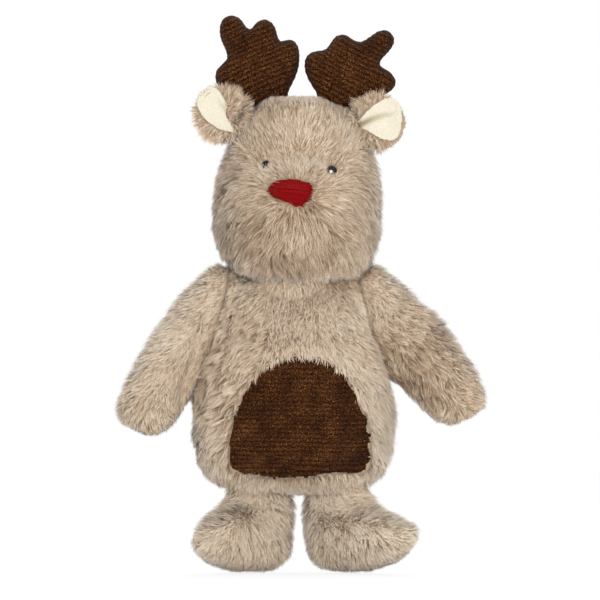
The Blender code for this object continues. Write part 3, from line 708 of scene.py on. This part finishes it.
def head_trim(roots, normals):
    """No hair under the nose and the eyes, and shorter hair round them."""
    x, y, z = roots.T
    front = y < neck_y
    short = np.ones(len(roots))
    keep = ~(front & inside_outline(x, z, grown_outline(nose_outline, -0.2 * mm)))
    for reach, share in ((3.5 * mm, 0.8), (1.5 * mm, 0.55)):
        short[front & inside_outline(x, z, grown_outline(nose_outline, reach))] = share
    for place, radius in ((left_eye_place, 2.0 * mm), (right_eye_place, 2.9 * mm)):
        distance = np.hypot(x - place[0], z - place[1])
        keep &= ~(front & (distance < radius))
        short[front & (distance < radius + 2.0 * mm)] = 0.5
    return keep, short


def on_patch(x, z, inset):
    """Which points lie on the belly patch, above its loose hem and an inset away from its edge."""
    near_hem = ((x > patch_low[0] + 2 * mm + inset) & (x < patch_high[0] - 2 * mm - inset)
                & (z < patch_low[1] + 8 * mm))
    inner = inside_outline(x, z, grown_outline(patch_outline, -inset)) | near_hem
    return inner & (z > np.interp(x, hem_line[:, 0], hem_line[:, 1]))


def torso_trim(roots, normals):
    """No hair under the belly patch, and shorter hair round it."""
    x, y, z = roots.T
    front = y < neck_y
    short = np.ones(len(roots))
    for reach, share in ((6.0 * mm, 0.9), (3.0 * mm, 0.72)):
        short[front & inside_outline(x, z, grown_outline(patch_outline, reach))] = share
    return ~(front & on_patch(x, z, -0.8 * mm)), short


def no_trim(roots, normals):
    return np.ones(len(roots), bool), np.ones(len(roots))


def head_squeeze(x, y, z):
    """The brow pulled in over the muzzle, as the stitched eyes do, and the crown's corners lowered."""
    brow = bump(x, -1, 22) * bump(z, 236, 5) * 5.5
    sockets = (bump(x, -18, 6) + bump(x, 19, 6)) * bump(z, 231, 6) * 2
    muzzle = bump(x, -4, 26) * bump(z, 205, 22) * 2.5
    corners = (bump(x, -27, 7) * 3.5 + bump(x, 22, 7) * 3) * ramp(y, 4, -2)
    crown = bump(x, -3, 26) * 1.2
    return x * 0, ramp(y, 0, -20) * (brow + sockets - muzzle), -ramp(z, 256, 266) * (corners + crown)


def torso_squeeze(x, y, z):
    """The shoulders pushed up beside the chin, where the head sits down between them."""
    outward = np.abs(x - neck_x / mm)
    top = ramp(z, 140, 160)
    ahead = top * bump(outward, 27, 15) * (y < 0) * 3
    return x * 0, -ahead, top * (5 + bump(outward, 34, 19) * 7.5)


def arm_squeeze(x, y, z):
    """The arm's root pushed up against the head beside it, and its inner side drawn in."""
    outward = np.abs(x - neck_x / mm)
    left = x < neck_x / mm
    top = ramp(z, 140, 165) * bump(outward, 38, 13) * np.where(left, 12, 9.5)
    beside_head = ramp(z, 150, 165) * np.where(left, bump(outward, 36, 7), bump(outward, 44, 8)) * 3.5
    inner = ramp(z + outward * 0.85, 175, 165) * ramp(outward, 52, 60) * np.where(left, 1.4, 2.4)
    hand = ramp(outward, 62, 76)
    aside = np.sign(x) * inner * 0.6 + hand * np.where(left, 0.8, 1.0)
    return aside, y * 0, top + beside_head + inner + hand * np.where(left, -1.2, 1.0)


def left_leg_squeeze(x, y, z):
    """The left leg leans on the other leg, so that only a narrow gap is left between them."""
    inner = ramp(x, -24, -8) * ramp(z, 48, 38)
    ankle = bump(z, 46, 14) * (x + 24) * 0.13
    instep = bump(x, -35, 14) * bump(z, 33, 9) * (y < 0)
    return inner * 2.6 + ankle, -instep * 4.5, instep * 2


def right_leg_squeeze(x, y, z):
    """The right leg, full at its top where it is pressed up against the body."""
    instep = bump(x, 38, 15) * bump(z, 36, 9) * (y < 0)
    return bump(z, 44, 16) * (x - 21) * 0.17, -instep * 4.5, instep * 1.5


def dress(body, comb, trim, others, squeeze, pressed=0.35, painted_light_offset=0.0):
    """The knitted skin of one stuffed piece and its pile."""
    nodes = outer_nodes[body]
    skin, held = skin_under(f"{body}_skin", nodes, others, squeeze)
    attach(skin, body)
    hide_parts(*[node for node in nodes if node.endswith(("_cover", "_filling"))])
    grow_pile(f"{body}_pile", skin, held, lambda points: combed(comb, points), trim, body,
              painted_light_offset=painted_light_offset, pressed=pressed)


# The offsets paint light onto piles that the lamps leave darker, such as the chest under the chin and the
# legs, and paint the head a little darker
dress("head", head_comb, head_trim, ("torso", "left_arm", "right_arm"), head_squeeze, pressed=0.0,
      painted_light_offset=-0.05)
dress("torso", torso_comb, torso_trim, ("head", "left_arm", "right_arm", "left_leg", "right_leg"),
      torso_squeeze, pressed=0.1, painted_light_offset=0.24)
dress("left_arm", left_arm_comb, no_trim, ("torso", "head"), arm_squeeze, pressed=0.5, painted_light_offset=0.17)
dress("right_arm", right_arm_comb, no_trim, ("torso", "head"), arm_squeeze, pressed=0.5, painted_light_offset=0.16)
dress("left_leg", left_leg_comb, no_trim, ("torso",), left_leg_squeeze, painted_light_offset=0.29)
dress("right_leg", right_leg_comb, no_trim, ("torso",), right_leg_squeeze, painted_light_offset=0.46)


def make_neck():
    """The plush between the body and the head, squeezed wide, with its hair over the chest."""
    skin = soft_form("neck_skin", ("neck_filling",), voxel=1.5 * mm, passes=3)
    points, _, _ = surface_arrays(skin.data)
    middle = np.array((neck_x, neck_y, neck_z))
    move_points(skin, middle + (points - middle) * (1.22, 1.32, 0.96))
    skin.data.materials.append(backing_finish)
    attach(skin, "neck")
    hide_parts("neck_filling")

    def lay_of(points):
        down = np.tile((0.0, 0.0, -1.0), (len(points), 1))
        return down, np.full(len(points), 6.0 * mm), np.full(len(points), 0.3)

    held = np.ones((len(skin.data.vertices), 2))
    grow_pile("neck_pile", skin, held, lay_of, no_trim, "neck", pressed=0.0)


make_neck()


def joint_frame(name, side):
    """A hinge's place and the ways across, back and up of what turns on it."""
    joint = next(j for j in frame["joints"] if j["name"] == name)
    place = np.array(joint["pos_m"])
    axis = np.array(joint["axis"]) / np.linalg.norm(joint["axis"])
    back = np.array((0, 1, 0)) - axis * axis[1]
    back /= np.linalg.norm(back)
    if abs(axis[0]) > 0.9:
        return place, axis, back, np.cross(axis, back)
    return place, np.cross(back, axis) * side, back, axis


def rib_profile(phase, depth):
    """The height from 0 to 1 of rounded ribs with narrow grooves of a depth between them."""
    return 1 - (1 - np.abs(np.sin(math.pi * phase)) ** 0.9) * depth


def make_antler(side_name, side, slope):
    """A flat stuffed antler of cord, domed between its seams, with ribs across it."""
    dome_height, dome_reach, side_swell = 2.2 * mm, 9 * mm, 0.8 * mm
    nodes = (f"{side_name}_antler_cover", f"{side_name}_antler_filling")
    piece = soft_form(f"{side_name}_antler_cord", nodes, voxel=0.9 * mm, passes=32)
    modify(piece, "SUBSURF", levels=1, render_levels=1)
    place, across, back, up = joint_frame(f"{side_name}_antler_bend", side)
    points, normals, _ = surface_arrays(piece.data)
    x, z = (points - place) @ across, (points - place) @ up
    facing = np.abs(normals @ back)
    seams = tree_of_points(points[facing < 0.35])
    from_seam = np.array([seams.find(point)[2] for point in points])
    dome = np.sin(ramp(from_seam, 0, dome_reach) * math.pi / 2) * dome_height * (z > -4 * mm)
    turn = math.radians(slope)
    warp = waves(np.stack((x, x * 0, z), axis=1), 26 * mm, 40 + side) * 1.1 * mm
    phase = (z * math.cos(turn) - x * math.sin(turn) + warp) / rib_pitch
    rib = rib_profile(phase, 0.7) * (0.85 + 0.12 * waves(points, 6 * mm, 31))
    lift = facing * dome + (rib - 0.5) * rib_height + (1 - facing) * side_swell
    # The foot is sunk into the fur, down to the backing
    sunk = ramp(z, 3 * mm, -3 * mm) * 3.6 * mm
    move_points(piece, points + normals * lift[:, None] - up * sunk[:, None])
    # The ribs' heights also darken the grooves in the cord's colour, as painted shade
    add_values(piece.data, "rib", np.clip(rib, 0, 1))
    piece.data.materials.append(cord_finish)
    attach(piece, f"{side_name}_antler")
    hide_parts(*nodes)


make_antler("left", -1, 24)
make_antler("right", 1, -27)


def grid_mesh(name, low, high, spacing, inside, place_at):
    """A quad mesh over the part of a grid that is inside, with each point placed."""
    grid = np.stack(np.meshgrid(np.arange(low[0], high[0], spacing), np.arange(low[1], high[1], spacing)),
                    axis=-1)
    held = inside(grid[..., 0].ravel(), grid[..., 1].ravel()).reshape(grid.shape[:2])
    number = np.where(held, np.cumsum(held).reshape(held.shape) - 1, -1)
    rings = np.stack((number[:-1, :-1], number[:-1, 1:], number[1:, 1:], number[1:, :-1]), axis=-1)
    rings = rings.reshape(-1, 4)
    flat = grid[held]
    mesh = bpy.data.meshes.new(name)
    mesh.from_pydata([tuple(p) for p in place_at(flat)], [], rings[rings.min(axis=1) >= 0].tolist())
    mesh.update()
    return mesh, flat


def make_patch():
    """The belly patch: ribbed cord that lies on the belly, its hem loose at the bottom."""
    belly = tree_of(forms["torso"])

    def ribs_at(flat):
        """The height of the ribs, which sway most and are deepest at the hem."""
        x, z = flat.T
        above_hem = (z - patch_low[1]) / mm
        spread = np.stack((x, x * 0, z), axis=1)
        sway = waves(spread * (1, 1, 0.6), 30 * mm, 61) * 0.5
        sway = sway + ramp(above_hem, 22, 0) * waves(spread, 13 * mm, 62)
        depth = np.interp(above_hem, (0, 25, 60), (1.0, 0.85, 0.5))
        return rib_profile((z + sway * mm) / rib_pitch, depth) * (0.74 + 0.16 * waves(spread, 5 * mm, 63))

    def place_at(flat):
        """The hem stands off the belly, and the other edges are sewn down into the fur."""
        x, z = flat.T
        above_hem = (z - patch_low[1]) / mm
        inward = sum(inside_outline(x, z, grown_outline(patch_outline, -step * mm))
                     for step in range(1, 7)) / 6
        proud = (ribs_at(flat) - 0.5) * rib_height + ramp(above_hem, 7, -2) * 1.9 * mm
        proud = proud - (1 - inward) * (0.4 + ramp(above_hem, 28, 48) * 1.7) * mm
        hits = [first_hit(belly, x, z, neck_y) for x, z in flat]
        return [hit + normal * (lift - 3.3 * mm) for (hit, normal), lift in zip(hits, proud)]

    mesh, flat = grid_mesh("belly_patch_cord", patch_low - (0, 3 * mm), patch_high, 0.5 * mm,
                           lambda x, z: on_patch(x, z, 0), place_at)
    # The ribs' heights also darken the grooves in the cord's colour, as painted shade
    add_values(mesh, "rib", np.clip(ribs_at(flat), 0, 1))
    piece = new_object("belly_patch_cord", mesh, cord_finish)
    modify(piece, "SOLIDIFY", thickness=1.5 * mm, offset=1)
    piece.data.shade_smooth()
    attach(piece, "torso")
    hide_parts("belly_patch")


make_patch()


def thread_mesh(name, lines, radius, finish):
    """Round threads with pointed ends through lines of points."""
    sides = 6
    verts, faces, places = [], [], []
    for line, shade in zip(lines, chance.uniform(0.5, 0.85, len(lines))):
        line = np.array(line)
        heading = unit(np.gradient(line, axis=0))
        across = unit(np.cross(heading, (0.0, 1.0, 0.03)))
        beside = np.cross(heading, across)
        share = np.linspace(0, 1, len(line))
        size = radius * np.minimum(1, 0.35 + 4 * np.minimum(share, 1 - share))
        rings = (len(verts) + np.arange(len(line) * sides)).reshape(-1, sides).tolist()
        for step, level in enumerate(np.linspace(0.02, 0.98, len(line))):
            for turn in np.arange(sides) * math.tau / sides:
                outward = across[step] * math.cos(turn) + beside[step] * math.sin(turn)
                verts.append(line[step] + outward * size[step])
                places.append((shade, level))
        for ring, following in zip(rings, rings[1:]):
            for side in range(sides):
                other = (side + 1) % sides
                faces.append((ring[side], ring[other], following[other], following[side]))
        faces += [rings[0][::-1], rings[-1]]
    mesh = bpy.data.meshes.new(name)
    mesh.from_pydata([tuple(v) for v in verts], [], faces)
    mesh.update()
    mesh.shade_smooth()
    add_map(mesh, places)
    return new_object(name, mesh, finish)


head_tree = tree_of(bpy.data.objects["head_skin"])


def face_point(x, z, height):
    """The point of the face at a place seen from the front, that high over the head's skin."""
    return np.array(first_hit(head_tree, x, z, neck_y)[0] + Vector((0, -height, 0)))


def make_nose():
    """The nose: rows of red satin stitch over a pad, even on one side and ragged on the other."""
    row_pitch = 0.62 * mm
    low, high = nose_outline[:, 1].min(), nose_outline[:, 1].max()
    middle = nose_outline.mean(axis=0)
    slope = math.tan(math.radians(-5))
    probe = np.arange(-22 * mm, 12 * mm, 0.2 * mm)

    def domed(x, z, height):
        """A point over the face, highest at the nose's middle."""
        off_middle = np.hypot((x - middle[0]) / (13 * mm), (z - middle[1]) / (8 * mm))
        return face_point(x, z, height - 1.1 * mm * min(off_middle, 1) ** 2)

    lines = []
    for layer in range(2):
        for level in np.arange(low - 2 * mm, high + 2 * mm, row_pitch) + layer * row_pitch / 2:
            held = probe[inside_outline(probe, level + (probe - middle[0]) * slope, nose_outline)]
            if len(held) < 6:
                continue
            start = held[0] + chance.normal(0, 0.15) * mm
            end = held[-1] + (chance.uniform(-2.6, 0.7) if layer else chance.uniform(-1.2, 0.6)) * mm
            if layer and chance.random() < 0.3:
                start += chance.uniform(1, 7) * mm
            wobble = chance.normal(0, 0.12) * mm
            line = []
            for share in np.linspace(0, 1, 12):
                x = between(start, end, share)
                z = level + (x - middle[0]) * slope + math.sin(share * math.pi) * wobble
                sunk = 0.9 if share in (0, 1) else 0
                line.append(domed(x, z, (3.3 + layer * 0.22 - sunk) * mm))
            lines.append(line)
    piece = thread_mesh("nose_stitches", lines, 0.31 * mm, red_thread)
    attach(piece, "head")
    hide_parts("nose")

    pad_outline = grown_outline(nose_outline, -1.3 * mm)
    mesh, _ = grid_mesh("nose_pad", (-20 * mm, low), (10 * mm, high), 0.8 * mm,
                        lambda x, z: inside_outline(x, z, pad_outline),
                        lambda flat: [domed(x, z, 2.6 * mm) for x, z in flat])
    # The pad shows only between the stitches, and is dark all over: the thread's red, darkened as painted
    # shade between the stitches
    add_map(mesh, [(0.1, 0.5)] * len(mesh.vertices))
    pad = new_object("nose_pad", mesh, red_thread)
    modify(pad, "SOLIDIFY", thickness=3.0 * mm, offset=-1)
    pad.data.shade_smooth()
    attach(pad, "head")


make_nose()


def make_eye(side_name, place, radius, height, glint_height):
    """A round eye of black satin stitch with one white stitch for its light."""
    lines = []
    for level in np.arange(-radius + 0.2 * mm, radius, 0.42 * mm):
        reach = math.sqrt(max(radius ** 2 - level ** 2, 0))
        line = []
        for share in np.linspace(-1, 1, 9):
            sunk = 0.9 * (level ** 2 + (reach * share) ** 2) / radius ** 2 + (abs(share) == 1)
            line.append(face_point(place[0] + level, place[1] + reach * share, height - sunk * mm))
        lines.append(line)
    # A last long stitch runs off to the lower right
    for step in (0, 0.4 * mm):
        lines.append([face_point(place[0] + step + (1.2 + 1.1 * share) * mm,
                                 place[1] - (0.5 + 4.2 * share) * mm, height - share * 1.2 * mm)
                      for share in np.linspace(0, 1, 7)])
    piece = thread_mesh(f"{side_name}_eye_stitches", lines, 0.27 * mm, black_thread)
    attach(piece, "head")
    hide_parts(f"{side_name}_eye")

    # The white stitch is three threads side by side
    lines = []
    for step in (-1, 0, 1):
        x = place[0] + (step * 0.5 - 0.35) * mm
        reach = 1.05 - abs(step) * 0.3
        lines.append([face_point(x, place[1] + (reach * share - 0.7) * mm,
                                 glint_height - 0.5 * mm * (abs(share) == 1))
                      for share in np.linspace(-1, 1, 7)])
    glint = thread_mesh(f"{side_name}_eye_glint_stitch", lines, 0.30 * mm, white_thread)
    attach(glint, "head")
    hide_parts(f"{side_name}_eye_glint")


make_eye("left", left_eye_place, 2.8 * mm, 3.1 * mm, 2.3 * mm)
make_eye("right", right_eye_place, 3.0 * mm, 4.6 * mm, 4.95 * mm)


# The linings' outlines seen from the front, in millimetres from the toy's middle
left_lining = ((-49.1, 279.4), (-45.2, 275.9), (-42.4, 271.4), (-41.2, 267.0), (-41.2, 261.7),
               (-37.3, 256.0), (-34.0, 251.9), (-39.1, 252.5), (-45.7, 254.0), (-51.3, 257.8),
               (-55.7, 262.0), (-57.9, 267.0), (-57.9, 272.2), (-55.7, 276.6), (-52.2, 279.1))
right_lining = ((33.2, 255.8), (34.6, 259.5), (38.5, 264.2), (43.3, 268.5), (48.6, 271.4),
                (53.4, 272.2), (56.7, 270.3), (58.4, 266.1), (58.9, 260.0), (58.4, 253.8),
                (56.5, 249.4), (53.4, 247.3), (46.8, 248.4), (43.3, 250.4), (38.5, 253.8))


def make_ear(side_name, side, lining_outline, crease_from, crease_to):
    """A cupped ear: furry behind and round its rim, lined with short cream plush."""
    lined_inset = 2.6 * mm
    outer_edge = 46 * mm if side > 0 else 54 * mm
    nodes = (f"{side_name}_ear_back", f"{side_name}_ear_lining")
    body = f"{side_name}_ear"
    place, _, _, _ = joint_frame(f"{side_name}_ear_bend", side)
    outline = np.array(lining_outline) * mm
    middle = outline.mean(axis=0)
    rim = np.concatenate([between(outline, np.roll(outline, -1, axis=0), share)
                          for share in (0, 0.25, 0.5, 0.75)])
    start, end = np.array(crease_from) * mm, np.array(crease_to) * mm
    crease_length = np.linalg.norm(end - start)
    along = (end - start) / crease_length

    def fold_at(x, z):
        """From 0 to 1 how far a point lies in the fold that runs out from the inner corner."""
        offset = np.array((x, z)) - start
        ahead = offset @ along / crease_length
        bow = math.sin(np.clip(ahead, 0, 1) * math.pi) * 1.2 * mm * side
        beside = offset[0] * along[1] - offset[1] * along[0] + bow
        return bump(beside, 0, 1.4 * mm) * np.clip(1.15 - max(ahead, 0), 0, 1)

    def cup_depth(x, z):
        """How far the lining sinks: a cup, with the fold in it."""
        edge = np.min(np.hypot(rim[:, 0] - x, rim[:, 1] - z))
        return min(edge / (8 * mm), 1) ** 0.8 * 3.4 * mm + fold_at(x, z) * 3.0 * mm - 0.8 * mm

    skin = soft_form(f"{side_name}_ear_skin", nodes, voxel=1.2 * mm, passes=5)
    tree = tree_of(skin)
    points, normals, _ = surface_arrays(skin.data)
    held = room_round(points, normals, ("head",))
    depth = between(seam_inset, lined_inset, held[:, 1])
    points = points - normals * depth[:, None]
    lined = (normals[:, 1] < 0.1) & inside_outline(points[:, 0], points[:, 2], outline)
    for number in np.flatnonzero(lined):
        points[number, 1] += cup_depth(points[number, 0], points[number, 2]) - depth[number] + lined_inset
    move_points(skin, points)
    skin.data.materials.append(backing_finish)
    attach(skin, body)
    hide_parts(nodes[0])

    def lay_of(points):
        x, _, z = points.T
        away = unit(np.stack((x - middle[0], x * 0, z - middle[1]), axis=1)) + (0.35 * side, 0.0, 0.1)
        outer = ramp(x * side, outer_edge, outer_edge + 8 * mm)
        return unit(away), (7.0 - 3.6 * outer) * mm, np.full(len(points), 0.4)

    def trim(roots, normals):
        x, _, z = roots.T
        front = normals[:, 1] < 0.1
        covered = front & inside_outline(x, z, grown_outline(outline, -0.6 * mm))
        close = front & inside_outline(x, z, grown_outline(outline, 1.5 * mm))
        return ~covered, np.where(close, 0.7, 1.0)

    held = np.clip(held + 0.35, 0, 1)
    grow_pile(f"{side_name}_ear_pile", skin, held, lay_of, trim, body, painted_light_offset=0.06)

    def place_at(flat):
        return [first_hit(tree, x, z, place[1] - 4 * mm)[0] + Vector((0, cup_depth(x, z), 0))
                for x, z in flat]

    mesh, flat = grid_mesh(f"{side_name}_ear_cream", outline.min(axis=0), outline.max(axis=0), 0.5 * mm,
                           lambda x, z: inside_outline(x, z, outline), place_at)
    # The fold's value darkens the cream in the crease, as painted shade
    add_values(mesh, "fold", [fold_at(x, z) for x, z in flat])
    lining = new_object(f"{side_name}_ear_cream", mesh, cream_finish)
    modify(lining, "SMOOTH", iterations=3)
    modify(lining, "SOLIDIFY", thickness=1.2 * mm, offset=-1)
    lining.data.shade_smooth()
    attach(lining, body)
    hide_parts(nodes[1])


make_ear("left", -1, left_lining, (-35, 253), (-46, 270))
make_ear("right", 1, right_lining, (34, 256), (54, 263))

for form in forms.values():
    bpy.data.objects.remove(form)


def seen_directly(tree):
    """1 for what the camera sees, mirrors or looks through at, and 0 for scattered light."""
    path = add_node(tree, "ShaderNodeLightPath")
    seen = path.outputs["Is Camera Ray"]
    for kind in ("Is Glossy Ray", "Is Transmission Ray"):
        seen = add_node(tree, "ShaderNodeMath", {0: seen, 1: path.outputs[kind]}, operation="ADD",
                        use_clamp=True).outputs[0]
    return seen


def make_floor():
    """A pale floor that takes the toy's soft shadow."""
    mesh = bpy.data.meshes.new("floor")
    mesh.from_pydata([(-3, -3, 0), (3, -3, 0), (3, 3, 0), (-3, 3, 0)], [], [(0, 1, 2, 3)])
    material, tree, shader = new_finish("pale_floor", 0.9, 0.0, specular=0.5)
    shader.inputs["Base Color"].default_value = hex_colour("efefef")
    glow = add_node(tree, "ShaderNodeEmission", {"Color": (1, 1, 1, 1), "Strength": 1.05})
    share = add_node(tree, "ShaderNodeMath", {0: seen_directly(tree), 1: 0.8}, operation="MULTIPLY")
    mix = add_node(tree, "ShaderNodeMixShader", {0: share.outputs[0], 1: shader.outputs[0],
                   2: glow.outputs[0]})
    tree.links.new(mix.outputs[0], tree.nodes["Material Output"].inputs["Surface"])
    new_object("floor", mesh, material)


def make_light():
    """A white surround and soft studio lamps."""
    world = bpy.data.worlds.new("white_surround")
    world.use_nodes = True
    bpy.context.scene.world = world
    tree = world.node_tree
    ambient = tree.nodes["Background"]
    ambient.inputs["Color"].default_value = (1, 1, 1, 1)
    ambient.inputs["Strength"].default_value = 0.88
    white = add_node(tree, "ShaderNodeBackground", {"Color": (1, 1, 1, 1), "Strength": 1.0})
    mix = add_node(tree, "ShaderNodeMixShader", {0: seen_directly(tree), 1: ambient.outputs[0],
                   2: white.outputs[0]})
    tree.links.new(mix.outputs[0], tree.nodes["World Output"].inputs["Surface"])

    for name, place, power, colour in (("key_lamp", (0.45, -1.6, 0.06), 20, "fff4e6"),
                                       ("fill_lamp", (-0.7, -1.5, 0.04), 12, "fbf8f6"),
                                       ("top_lamp", (0.15, 0.7, 1.4), 8, "ffffff")):
        lamp = bpy.data.lights.new(name, "AREA")
        lamp.size = 0.9
        lamp.energy = power
        lamp.color = hex_colour(colour)[:3]
        holder = new_object(name, lamp)
        holder.location = place
        aim = Vector((0, 0, 0.16)) - Vector(place)
        holder.rotation_euler = aim.to_track_quat("-Z", "Y").to_euler()


def make_camera():
    """A long lens, level with the middle of the toy."""
    camera = bpy.data.cameras.new("camera")
    camera.sensor_fit = "HORIZONTAL"
    camera.sensor_width = 36.0
    camera.lens = camera.sensor_width * camera_distance / picture_width
    camera.clip_start = 0.05
    pixel = picture_width / picture_pixels
    holder = new_object("camera", camera)
    holder.location = (neck_x + camera_pixels_right * pixel, neck_y - camera_distance,
                       camera_pixels_up * pixel)
    holder.rotation_euler = (math.radians(90), 0, 0)
    bpy.context.scene.camera = holder


make_floor()
make_light()
make_camera()
bpy.context.scene.view_settings.view_transform = "Standard"
